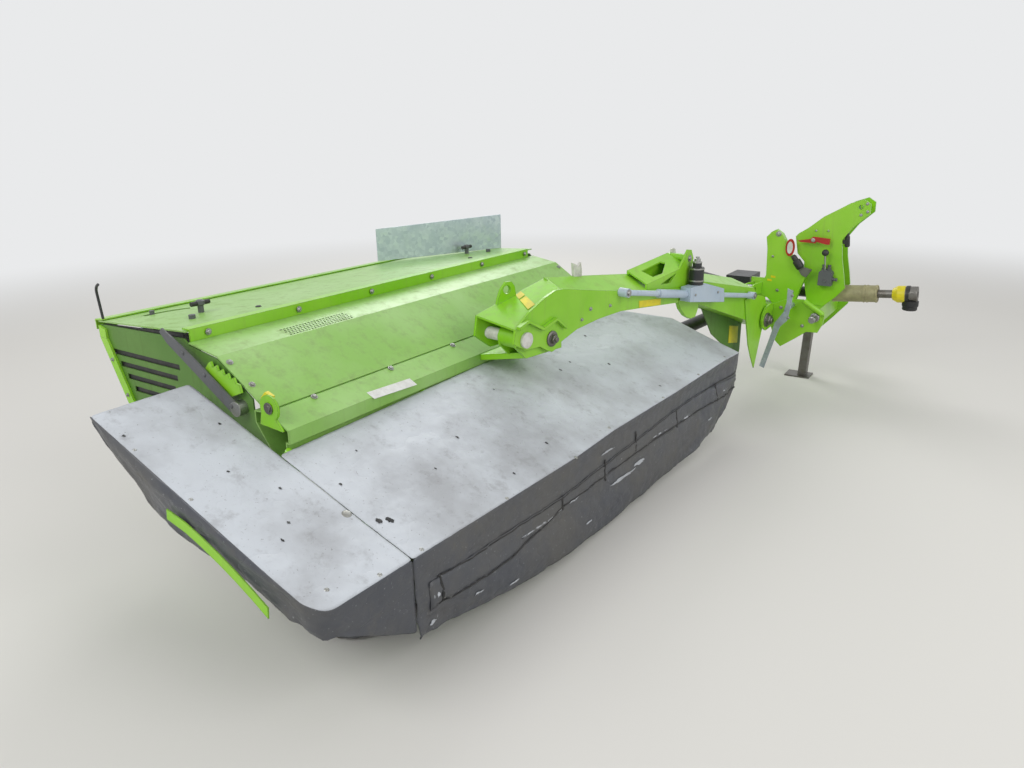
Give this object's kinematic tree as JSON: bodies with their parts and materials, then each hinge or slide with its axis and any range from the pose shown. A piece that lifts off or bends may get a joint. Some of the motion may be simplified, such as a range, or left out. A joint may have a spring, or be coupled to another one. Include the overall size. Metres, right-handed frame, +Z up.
{
  "type": "mower conditioner",
  "caption": "Rear-mounted disc mower with tine conditioner, hung at its middle from a side boom; parked on its skids and stand with cloth guards down.",
  "frame": {"origin": "on the floor under the middle of the outline", "axes": "+X the direction of travel, +Y from the mower towards the headstock, +Z up"},
  "size_m": [2.324, 4.3125, 1.116],
  "materials": {
    "bright_green_paint": "gloss enamel over welded steel, dusty",
    "hood_green_paint": "sun-faded enamel with grime",
    "dark_green_paint": "enamel in shade, dusty",
    "grey_paint": "grey enamel, scuffed",
    "black_paint": "black enamel",
    "silver_paint": "silver-grey paint",
    "worn_steel": "bare steel worn by soil",
    "zinc_steel": "zinc-plated turned steel",
    "galvanised_sheet": "hot-dip galvanised sheet",
    "chrome_rod": "hard-chromed ground rod",
    "beige_plastic": "weathered polyethylene guard",
    "black_plastic": "black moulded guard",
    "white_cap": "pale plastic cap",
    "white_tarpaulin": "coated cloth, weathered and stained",
    "grey_curtain": "heavy coated cloth, glossy and creased"
  },
  "bodies": {
    "headstock": {"headstock_frame": "bright_green_paint", "mast": "bright_green_paint", "rear_arm": "bright_green_paint", "hinge_pin": "zinc_steel", "lower_link_pin_outer": "zinc_steel", "lower_link_pin_inner": "zinc_steel", "head_gearbox": "black_paint", "stand_bracket": "bright_green_paint", "pto_guard": "beige_plastic", "galvanised_strap": "galvanised_sheet"},
    "stand": {"parking_stand": "worn_steel"},
    "pto": {"pto_shaft": "worn_steel"},
    "boom": {"boom_outer_arm": "bright_green_paint", "boom_gooseneck": "bright_green_paint", "boom_inner_arm": "bright_green_paint", "boom_end_cheek": "bright_green_paint", "boom_side_shield": "dark_green_paint", "breakaway_strut": "silver_paint", "accumulator": "black_paint", "pendulum_pin": "white_cap", "lift_pin": "zinc_steel"},
    "lift_barrel": {"lift_barrel": "black_paint"},
    "lift_rod": {"lift_rod": "chrome_rod"},
    "drive": {"drive_shaft": "black_plastic"},
    "mower": {"cutterbar": "grey_paint", "skids": "worn_steel", "cutterbar_stays": "grey_paint", "mower_gearbox": "black_paint", "pendulum_carrier": "bright_green_paint", "hood_front_beam": "hood_green_paint", "hood_main_panel": "hood_green_paint", "hood_riser_strip": "bright_green_paint", "hood_rear_panel": "hood_green_paint", "hood_rear_edge": "bright_green_paint", "end_plate_outer": "dark_green_paint", "end_plate_inner": "dark_green_paint", "front_cover": "white_tarpaulin", "front_curtain": "grey_curtain", "front_cover_frame": "bright_green_paint", "deflector_plate": "galvanised_sheet"},
    "outer_cover": {"outer_cover": "white_tarpaulin", "outer_curtain": "grey_curtain", "outer_cover_frame": "bright_green_paint"},
    "swath_board_outer": {"swath_board_outer": "grey_paint"},
    "swath_board_inner": {"swath_board_inner": "grey_paint"},
    "tine_rotor": {"tine_rotor": "worn_steel"},
    "disc_1": {"disc_1": "worn_steel"},
    "disc_2": {"disc_2": "worn_steel"},
    "disc_3": {"disc_3": "worn_steel"},
    "disc_4": {"disc_4": "worn_steel"},
    "disc_5": {"disc_5": "worn_steel"},
    "disc_6": {"disc_6": "worn_steel"}
  },
  "joints": [
    {"name": "boom_lift", "type": "hinge", "parent": "headstock", "child": "boom", "pos_m": [0.344, 1.269, 0.44], "axis": [-0.9888, 0.1495, 0], "range_deg": [-10, 85]},
    {"name": "mower_tilt", "type": "hinge", "parent": "boom", "child": "mower", "pos_m": [0.02848, -0.81728, 0.75], "axis": [0.9888, -0.1495, 0], "range_deg": [-3.5, 3.5]},
    {"name": "outer_cover_fold", "type": "hinge", "parent": "mower", "child": "outer_cover", "pos_m": [-0.07, -1.859, 0.54259], "axis": [-0.9348, 0, 0.3552], "range_deg": [0, 90]},
    {"name": "swath_board_outer_swing", "type": "hinge", "parent": "mower", "child": "swath_board_outer", "pos_m": [-0.79, -1.636, 0.7], "axis": [0, 0, -1], "range_deg": [0, 24]},
    {"name": "swath_board_inner_swing", "type": "hinge", "parent": "mower", "child": "swath_board_inner", "pos_m": [-0.79, 0.169, 0.7], "axis": [0, 0, 1], "range_deg": [0, 24]},
    {"name": "tine_rotor_spin", "type": "hinge", "parent": "mower", "child": "tine_rotor", "pos_m": [-0.49, -0.001, 0.44], "axis": [0, 1, 0], "continuous": true},
    {"name": "stand_fold", "type": "hinge", "parent": "headstock", "child": "stand", "pos_m": [0.585, 1.699, 0.33], "axis": [0, 1, 0], "range_deg": [0, 90]},
    {"name": "pto_spin", "type": "hinge", "parent": "headstock", "child": "pto", "pos_m": [0.63, 1.699, 0.542], "axis": [0.9967, 0, 0.0817], "continuous": true},
    {"name": "lift_barrel_swing", "type": "hinge", "parent": "boom", "child": "lift_barrel", "pos_m": [0.13756, 0.65294, 0.79], "axis": [-0.9888, 0.1495, 0], "range_deg": [-3, 2]},
    {"name": "lift_rod_slide", "type": "slide", "parent": "lift_barrel", "child": "lift_rod", "axis": [0.1444, 0.955, -0.2591], "range_m": [-0.313, 0.046]},
    {"name": "drive_shaft_swing", "type": "hinge", "parent": "mower", "child": "drive", "pos_m": [-0.01, 0.3685, 0.4], "axis": [0.9888, -0.1495, 0], "range_deg": [-9, 9]},
    {"name": "disc_1_spin", "type": "hinge", "parent": "mower", "child": "disc_1", "pos_m": [-0.01, -1.7315, 0.09], "axis": [0, 0, 1], "continuous": true},
    {"name": "disc_2_spin", "type": "hinge", "parent": "mower", "child": "disc_2", "pos_m": [-0.01, -1.3465, 0.09], "axis": [0, 0, 1], "continuous": true},
    {"name": "disc_3_spin", "type": "hinge", "parent": "mower", "child": "disc_3", "pos_m": [-0.01, -0.9615, 0.09], "axis": [0, 0, 1], "continuous": true},
    {"name": "disc_4_spin", "type": "hinge", "parent": "mower", "child": "disc_4", "pos_m": [-0.01, -0.5765, 0.09], "axis": [0, 0, 1], "continuous": true},
    {"name": "disc_5_spin", "type": "hinge", "parent": "mower", "child": "disc_5", "pos_m": [-0.01, -0.1915, 0.09], "axis": [0, 0, 1], "continuous": true},
    {"name": "disc_6_spin", "type": "hinge", "parent": "mower", "child": "disc_6", "pos_m": [-0.01, 0.1935, 0.09], "axis": [0, 0, 1], "continuous": true}
  ],
  "couplings": [
    {"joint": "lift_barrel_swing", "follows": "boom_lift", "ratio": -0.017},
    {"joint": "lift_rod_slide", "follows": "boom_lift", "m_per_rad": -0.204},
    {"joint": "drive_shaft_swing", "follows": "mower_tilt", "ratio": -2.258},
    {"joint": "disc_2_spin", "follows": "disc_1_spin", "ratio": -1},
    {"joint": "disc_3_spin", "follows": "disc_1_spin", "ratio": 1},
    {"joint": "disc_4_spin", "follows": "disc_1_spin", "ratio": -1},
    {"joint": "disc_5_spin", "follows": "disc_1_spin", "ratio": 1},
    {"joint": "disc_6_spin", "follows": "disc_1_spin", "ratio": -1}
  ]
}
